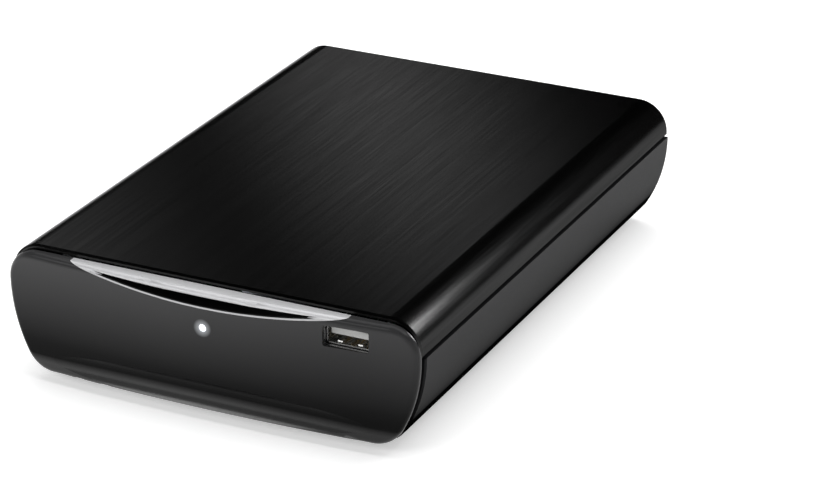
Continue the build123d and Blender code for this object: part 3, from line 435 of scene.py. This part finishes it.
up = (0, 0, 1)
rearward = (0, 1, 0)
sides = (-1, 1)
rail_column = 0.0546
rail_rows = (-0.076, -0.008, 0.058)
rail_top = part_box("rail_screws")[1][2]
crosses("rail_screw_recesses", "case",
        [(side * rail_column, y, rail_top) for side in sides for y in rail_rows], up, arm=0.0011)
board_column = 0.033
board_rows = (-0.072, -0.004, 0.060)
board_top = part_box("board_screws")[1][2]
crosses("board_screw_recesses", "case",
        [(side * board_column, y, board_top) for side in sides for y in board_rows], up, arm=0.0014)
panel_column = 0.058
panel_screw_z = 0.024
panel_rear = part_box("panel_screws")[1][1]
crosses("panel_screw_recesses", "case",
        [(side * panel_column, panel_rear, panel_screw_z) for side in sides], rearward, arm=0.0014)
bezel_screws_at = ((-0.046, 0.0165), (0.046, 0.0165), (-0.024, 0.033), (0.024, 0.033))
bezel_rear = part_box("bezel_screws")[1][1]
crosses("bezel_screw_recesses", "drive_drawer", [(x, bezel_rear, z) for x, z in bezel_screws_at],
        rearward, arm=0.0013)
front_screws_at = ((-0.03, 0.02), (0.03, 0.02), (-0.034, 0.033), (0.034, 0.033))
front_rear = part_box("front_board_screws")[1][1]
crosses("front_board_screw_recesses", "drive_drawer", [(x, front_rear, z) for x, z in front_screws_at],
        rearward, arm=0.0011)
head_radius = 0.0027
heads_low, heads_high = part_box("drive_screws")
heads_z = middle("drive_screws")[2]
for side, label, head_x in ((-1, "left", heads_low[0]), (1, "right", heads_high[0])):
    crosses(f"drive_screw_recesses_{label}", "drive_drawer",
            [(head_x, y, heads_z) for y in (heads_low[1] + head_radius, heads_high[1] - head_radius)],
            (side, 0, 0), arm=0.0016)

# Drive tray: pan folded from zinc plated sheet steel, with side walls and flanges, a front plate and windows
# in its floor. The zinc shows its crystals as faint patches of different gloss.
zinc, tree, shader = finish_nodes("zinc_sheet", (0.58, 0.59, 0.61), 0.32, metallic=1.0)
spangle = tree.nodes.new("ShaderNodeTexVoronoi")
spangle.inputs["Scale"].default_value = 180.0
place = tree.nodes.new("ShaderNodeTexCoord")
tree.links.new(place.outputs["Object"], spangle.inputs["Vector"])
parts = tree.nodes.new("ShaderNodeSeparateColor")
tree.links.new(spangle.outputs["Color"], parts.inputs["Color"])
patches = spread(tree, parts.outputs["Red"], 0.26, 0.40, start=0.0, end=1.0)
tree.links.new(patches, shader.inputs["Roughness"])
relief(tree, shader, grain(tree, 700.0), 0.000006)
wear(zinc, "drive_tray")

# Rails: black moulded channels, screwed to the posts of the lower case. The tray's flanges slide in them and
# rub the plastic smooth along its length.
slippery, tree, shader = finish_nodes("rail_moulding", (0.016, 0.016, 0.017), 0.36)
rubbed = grain(tree, 900.0, stretch=(1.0, 0.05, 1.0))
polish(tree, shader, rubbed, 0.30, 0.42)
relief(tree, shader, rubbed, 0.000006)
wear(slippery, "left_rail", "right_rail")

# Hard drive: cast base with a dark coat and a pressed lid of bare aluminium, held by six star screws. A
# blank label is stuck on the lid, over a pressed ring. Four screws from the tray's sides hold the drive.
casting, tree, shader = finish_nodes("drive_casting", (0.06, 0.06, 0.065), 0.45, metallic=0.6)
pitted = grain(tree, 1500.0)
polish(tree, shader, pitted, 0.4, 0.52)
relief(tree, shader, pitted, 0.00003)
wear(casting, "hard_drive_base")
lid_metal, tree, shader = finish_nodes("drive_lid_metal", (0.42, 0.43, 0.44), 0.3, metallic=1.0)
pressed = grain(tree, 500.0, stretch=(1.0, 0.3, 1.0))
polish(tree, shader, pressed, 0.28, 0.36)
relief(tree, shader, pressed, 0.0000005)
wear(lid_metal, "hard_drive_lid")


def disc(shape, matrix, radius, height, count=48, edge=0.0):
    """Closed round disc on the matrix's XY plane."""
    rim = bmesh.ops.create_circle(shape, cap_ends=True, segments=count, radius=radius, matrix=matrix)["verts"]
    raise_up(shape, rim[0].link_faces[0], matrix, height, edge)


def ring(shape, matrix, inner, outer, height, count=48):
    """Closed flat ring from 0 to height along the matrix's Z."""
    section = [(outer, 0.0), (outer, height), (inner, height), (inner, 0.0)]
    corners = [shape.verts.new(matrix @ Vector((radius, 0.0, z))) for radius, z in section]
    edges = [shape.edges.new((corner, corners[i - 1])) for i, corner in enumerate(corners)]
    bmesh.ops.spin(shape, geom=corners + edges, cent=matrix.to_translation(), axis=matrix.col[2].to_3d(),
                   angle=math.tau, steps=count, use_merge=True)


lid_low, lid_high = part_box("hard_drive_lid")
lid_x = middle("hard_drive_lid")[0]
lid_top = lid_high[2]
step_z = lid_top - 0.001
sunk_z = lid_top - 0.0002
corner_inset = 0.0035
side_inset = 0.0032
side_row = lid_low[1] + 0.078
lid_screws_at = [(lid_low[0] + corner_inset, lid_low[1] + corner_inset),
                 (lid_high[0] - corner_inset, lid_low[1] + corner_inset),
                 (lid_low[0] + corner_inset, lid_high[1] - corner_inset),
                 (lid_high[0] - corner_inset, lid_high[1] - corner_inset),
                 (lid_low[0] + side_inset, side_row),
                 (lid_high[0] - side_inset, side_row)]
shape = bmesh.new()
for x, y in lid_screws_at:
    disc(shape, facing((x, y, step_z - 0.0002), up), radius=0.0023, height=0.0009, count=24, edge=0.0002)
add_piece("drive_lid_screws", "drive_drawer", steel, shape)
star_points = 12
star = []
for i in range(star_points):
    reach = 0.0011 if i % 2 else 0.0008
    angle = math.tau * i / star_points
    star.append((reach * math.cos(angle), reach * math.sin(angle)))
# Star recesses in the lid screws: dark stars of painted shade, like the crosses.
shape = bmesh.new()
for x, y in lid_screws_at:
    prism(shape, facing((x, y, step_z + 0.0006), up), star, recess_height)
add_piece("drive_lid_screw_recesses", "drive_drawer", recess, shape)
spindle = facing((lid_x, lid_low[1] + 0.0508, sunk_z), up)
breather = facing((lid_x + 0.030, lid_high[1] - 0.030, sunk_z), up)
shape = bmesh.new()
ring(shape, spindle, inner=0.0136, outer=0.0150, height=0.0004)
ring(shape, spindle, inner=0.0402, outer=0.0414, height=0.00035)
disc(shape, breather, radius=0.0052, height=0.0004)
add_piece("drive_lid_pressing", "drive_drawer", lid_metal, shape)
label_paper, tree, shader = finish_nodes("blank_label", (0.70, 0.70, 0.68), 0.5)
fibre = grain(tree, 3000.0)
polish(tree, shader, fibre, 0.45, 0.55)
relief(tree, shader, fibre, 0.000004)
shape = bmesh.new()
box_between(shape, (lid_x - 0.036, lid_low[1] + 0.064, lid_top - 0.00005),
            (lid_x + 0.014, lid_low[1] + 0.124, lid_top + 0.0002))
add_piece("drive_label", "drive_drawer", label_paper, shape)

# Plugs and sockets inside: black moulded bodies with a fine texture. When the drawer shuts, the drive's own
# plug pushes into the socket on the dock board and the tray's plug into one on the main board.
black, tree, shader = finish_nodes("black_moulding", (0.010, 0.010, 0.011), 0.42)
texture = grain(tree, 4000.0)
polish(tree, shader, texture, 0.38, 0.48)
relief(tree, shader, texture, 0.000008)
wear(black, "drive_plug", "tray_plug", "dock_socket", "tray_socket")

# Flat cable: white ribbon whose conductors show as fine ribs. It runs under the tray from the front board to
# the tray's own plug.
ribbon, tree, shader = finish_nodes("flat_cable", (0.62, 0.62, 0.60), 0.4)
ribs = tree.nodes.new("ShaderNodeTexWave")
ribs.inputs["Scale"].default_value = 160.0
ribs.bands_direction = "X"
place = tree.nodes.new("ShaderNodeTexCoord")
tree.links.new(place.outputs["Object"], ribs.inputs["Vector"])
relief(tree, shader, ribs.outputs["Fac"], 0.00004)
wear(ribbon, "front_cable")

# Main board: processor under a low finned cooling plate, memory chips and capacitors. Rows of small parts
# are soldered round them, clear of the screws and of the way of the tray's plug.
resin, tree, shader = finish_nodes("chip_resin", (0.018, 0.018, 0.020), 0.4)
relief(tree, shader, grain(tree, 5000.0), 0.00001)
wear(resin, "processor", "memory_chips")
bare, tree, shader = finish_nodes("bare_aluminium", (0.58, 0.59, 0.61), 0.3, metallic=1.0)
drawn = grain(tree, 600.0)
polish(tree, shader, drawn, 0.26, 0.4)
relief(tree, shader, drawn, 0.000004)
wear(bare, "heat_sink", "board_capacitors")
main_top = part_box("main_board")[1][2]
solder_z = main_top - 0.00005
plug_low, plug_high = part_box("tray_plug")
plug_clearance = 0.001
screw_clearance = 0.006
part_half = 0.0005
rows = 7
row_step = 0.016
columns = 12
column_step = 0.0032
small = random.Random(11)
shape = bmesh.new()
for row in range(rows):
    for column in range(columns):
        x = -0.046 + column * column_step + small.uniform(-0.0004, 0.0004)
        y = -0.060 + row * row_step + small.uniform(-0.001, 0.001)
        under_plug = plug_low[0] - plug_clearance < x < plug_high[0] + plug_clearance
        near_screw = any(math.hypot(x - side * board_column, y - screw_y) < screw_clearance
                         for side in sides for screw_y in board_rows)
        if near_screw or under_plug:
            continue
        length = small.choice((0.0008, 0.0008, 0.0012))
        box_between(shape, (x - part_half, y - length, solder_z),
                    (x + part_half, y + length, main_top + 0.0007), edge=0.00006)
add_piece("board_small_parts", "case", resin, shape)
side_chips = ((0.040, -0.060, 0.007, 0.010), (0.040, -0.030, 0.009, 0.009), (-0.020, -0.040, 0.008, 0.008))
shape = bmesh.new()
for x, y, width, length in side_chips:
    box_between(shape, (x - width / 2, y - length / 2, solder_z),
                (x + width / 2, y + length / 2, main_top + 0.0011), edge=0.0001)
add_piece("board_side_chips", "case", resin, shape)

# Rear panel: moulded black plate in the end of the shells, with the sockets' openings and a row of cooling
# slots. Two screws hold it to the lower case.
panel_plastic, tree, shader = finish_nodes("panel_plastic", (0.016, 0.016, 0.017), 0.46)
shader.inputs["Specular IOR Level"].default_value = 0.35
texture = grain(tree, 3600.0, detail=3.0)
polish(tree, shader, texture, 0.42, 0.52)
relief(tree, shader, texture, 0.00001)
wear(panel_plastic, "rear_panel")

# Round jacks: nickel plated sleeves in black moulded blocks. A coloured insulating ring inside each sleeve
# and one at its foot tell them apart: red, blue and green pictures, yellow picture, white and red sound,
# orange digital sound.
nickel, tree, shader = finish_nodes("jack_nickel", (0.66, 0.65, 0.62), 0.2, metallic=1.0)
polish(tree, shader, grain(tree, 1500.0), 0.14, 0.26)
wear(nickel, "jack_sleeves", "power_jack_pin")
wear(black, "av_jack_block", "digital_jack_block")
sleeve_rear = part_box("jack_sleeves")[1][1]
panel_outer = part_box("rear_panel")[1][1]
jack_columns = (-0.019, -0.032, -0.045)
digital_column = -0.0035
upper_row = 0.0305
lower_row = 0.0165
red = (0.42, 0.010, 0.010)
collars = {
    "red_video": (jack_columns[0], upper_row, red),
    "blue_video": (jack_columns[1], upper_row, (0.010, 0.040, 0.36)),
    "green_video": (jack_columns[2], upper_row, (0.010, 0.22, 0.035)),
    "red_sound": (jack_columns[0], lower_row, red),
    "white_sound": (jack_columns[1], lower_row, (0.70, 0.70, 0.68)),
    "yellow_video": (jack_columns[2], lower_row, (0.70, 0.46, 0.010)),
    "orange_digital": (digital_column, lower_row, (0.62, 0.16, 0.010)),
}
for name, (x, z, colour) in collars.items():
    tinted, tree, shader = finish_nodes(f"collar_{name}", colour, 0.36)
    moulded = grain(tree, 3000.0)
    polish(tree, shader, moulded, 0.32, 0.42)
    relief(tree, shader, moulded, 0.000004)
    shape = bmesh.new()
    inside = facing((x, sleeve_rear - 0.0006, z), rearward)
    foot = facing((x, panel_outer, z), rearward)
    ring(shape, inside, inner=0.00165, outer=0.0034, height=0.00045)
    ring(shape, foot, inner=0.0042, outer=0.00625, height=0.0007)
    add_piece(f"jack_collar_{name}", "case", tinted, shape)

# Digital video socket: plated shell round a black moulded tongue, soldered to the main board. A row of
# gilded contacts lies on each face of the tongue.
wear(black, "hdmi_tongue")
tongue_low, tongue_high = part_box("hdmi_tongue")
tongue_margin = 0.0007
contacts = 10
pitch = (tongue_high[0] - tongue_low[0] - 2 * tongue_margin) / (contacts - 1)
contact_half = 0.00022
shape = bmesh.new()
for i in range(contacts):
    x = tongue_low[0] + tongue_margin + i * pitch
    for z in (tongue_low[2], tongue_high[2]):
        box_between(shape, (x - contact_half, tongue_high[1] - 0.005, z - 0.00006),
                    (x + contact_half, tongue_high[1] - 0.0004, z + 0.00006))
add_piece("hdmi_contacts", "case", gilt, shape)

# Computer socket: square plated shell round a pale moulded tongue, soldered to the main board. It has two
# gilded contacts above and two below.
pale, tree, shader = finish_nodes("pale_moulding", (0.58, 0.58, 0.56), 0.45)
relief(tree, shader, grain(tree, 3000.0), 0.000005)
wear(pale, "device_socket_tongue")
tongue_low, tongue_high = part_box("device_socket_tongue")
tongue_x = middle("device_socket_tongue")[0]
contact_half = 0.0005
shape = bmesh.new()
for x in (tongue_x - 0.00125, tongue_x + 0.00125):
    for z in (tongue_low[2], tongue_high[2]):
        box_between(shape, (x - contact_half, tongue_high[1] - 0.006, z - 0.00008),
                    (x + contact_half, tongue_high[1] - 0.0004, z + 0.00008))
add_piece("device_socket_contacts", "case", gilt, shape)

# Power jack and power switch: black mouldings, the jack soldered to the main board and the switch snapped
# into the rear panel. The rocker turns on two pins and is a little glossier than its frame, from use.
wear(black, "power_jack", "power_switch_body")
rocker_finish, tree, shader = finish_nodes("rocker_moulding", (0.012, 0.012, 0.013), 0.28)
polish(tree, shader, grain(tree, 500.0), 0.22, 0.36)
relief(tree, shader, grain(tree, 4000.0), 0.000004)
wear(rocker_finish, "power_rocker")

# Studio floor: plain pale paper. Its colour takes the object's shadow, and the camera and glossy or clear
# surfaces see it with a little white added, so that it ends near white.
floor_half = 6.0
floor_mesh = bpy.data.meshes.new("floor")
floor = bpy.data.objects.new("floor", floor_mesh)
bpy.context.scene.collection.objects.link(floor)
shape = bmesh.new()
bmesh.ops.create_grid(shape, x_segments=1, y_segments=1, size=floor_half)
shape.to_mesh(floor_mesh)
shape.free()
paper, tree, shader = finish_nodes("paper_floor", (0.88, 0.88, 0.88), 0.6)
path = tree.nodes.new("ShaderNodeLightPath")
seen = arithmetic(tree, "MAXIMUM", path.outputs["Is Camera Ray"], path.outputs["Is Glossy Ray"])
seen = arithmetic(tree, "MAXIMUM", seen, path.outputs["Is Transmission Ray"])
shader.inputs["Emission Color"].default_value = (1.0, 1.0, 1.0, 1.0)
tree.links.new(arithmetic(tree, "MULTIPLY", seen, 0.45), shader.inputs["Emission Strength"])
floor_mesh.materials.append(paper)

# Studio walls: pale low down and dark above, and dark all the way at the back, which the black cover
# mirrors. Two soft glows there give the cover its sheen, one in its middle and one at its left edge.
world = bpy.data.worlds.new("studio")
bpy.context.scene.world = world
world.use_nodes = True
tree = world.node_tree
background = tree.nodes["Background"]
direction = tree.nodes.new("ShaderNodeTexCoord")
parts = tree.nodes.new("ShaderNodeSeparateXYZ")
tree.links.new(direction.outputs["Generated"], parts.inputs["Vector"])
walls = tree.nodes.new("ShaderNodeValToRGB")
walls.color_ramp.elements[0].position = 0.35
walls.color_ramp.elements[0].color = (0.70, 0.70, 0.70, 1.0)
walls.color_ramp.elements[1].position = 0.55
walls.color_ramp.elements[1].color = (0.0, 0.0, 0.0, 1.0)
tree.links.new(parts.outputs["Z"], walls.inputs["Fac"])
not_back = spread(tree, parts.outputs["Y"], 1.0, 0.0, start=0.55, end=0.76)
dimmest = 0.012
total = arithmetic(tree, "ADD", arithmetic(tree, "MULTIPLY", walls.outputs["Color"], not_back), dimmest)
middle_glow = (116.4, 21.5, 0.05, 5.5)
left_glow = (127.5, 23.0, 0.12, 4.2)
for azimuth, elevation, reach, strength in (middle_glow, left_glow):
    turned = math.radians(azimuth)
    raised = math.radians(elevation)
    from_glow = tree.nodes.new("ShaderNodeVectorMath")
    from_glow.operation = "DISTANCE"
    level = math.cos(raised)
    from_glow.inputs[1].default_value = (math.cos(turned) * level, math.sin(turned) * level, math.sin(raised))
    tree.links.new(direction.outputs["Generated"], from_glow.inputs[0])
    glow = spread(tree, from_glow.outputs["Value"], strength, 0.0, start=0.0, end=reach)
    total = arithmetic(tree, "ADD", total, glow)
tree.links.new(total, background.inputs["Color"])

# Lamps: a large soft one overhead, a smaller one in front on the left, and a long narrow one behind on the
# right, which draws the highlight on the cover's right shoulder.


def softbox(name, place, aim, width, height, power, roll=0.0):
    """An area lamp at place, turned towards aim and then rolled about its own axis, in degrees."""
    light = bpy.data.lights.new(name, "AREA")
    light.shape = "RECTANGLE"
    light.size = width
    light.size_y = height
    light.energy = power
    lamp = bpy.data.objects.new(name, light)
    lamp.location = place
    towards = (Vector(aim) - Vector(place)).to_track_quat("-Z", "Y").to_matrix()
    lamp.rotation_euler = (towards @ Matrix.Rotation(math.radians(roll), 3, "Z")).to_euler()
    bpy.context.scene.collection.objects.link(lamp)


origin = (0.0, 0.0, 0.0)
right_shoulder = (0.06, -0.08, 0.035)
softbox("overhead", (0.0, 0.3, 1.8), origin, width=2.4, height=1.6, power=36.0)
softbox("front_fill", (-0.9, -1.6, 1.3), origin, width=1.2, height=0.8, power=14.0)
softbox("shoulder_strip", (0.83, 1.33, 0.81), right_shoulder, width=0.75, height=0.08, power=9.0, roll=50.0)

# Camera: at the height, distance and angle that the photo was taken from, which were worked out from the
# outline of the case.
camera_data = bpy.data.cameras.new("camera")
camera_data.sensor_width = 36.0
camera_data.lens = 141.84
camera = bpy.data.objects.new("camera", camera_data)
camera.location = (0.40076, -0.79478, 0.41153)
camera.rotation_euler = (math.radians(65.96), 0.0, math.radians(25.76))
bpy.context.scene.collection.objects.link(camera)
bpy.context.scene.camera = camera

bpy.context.scene.view_settings.view_transform = "Standard"
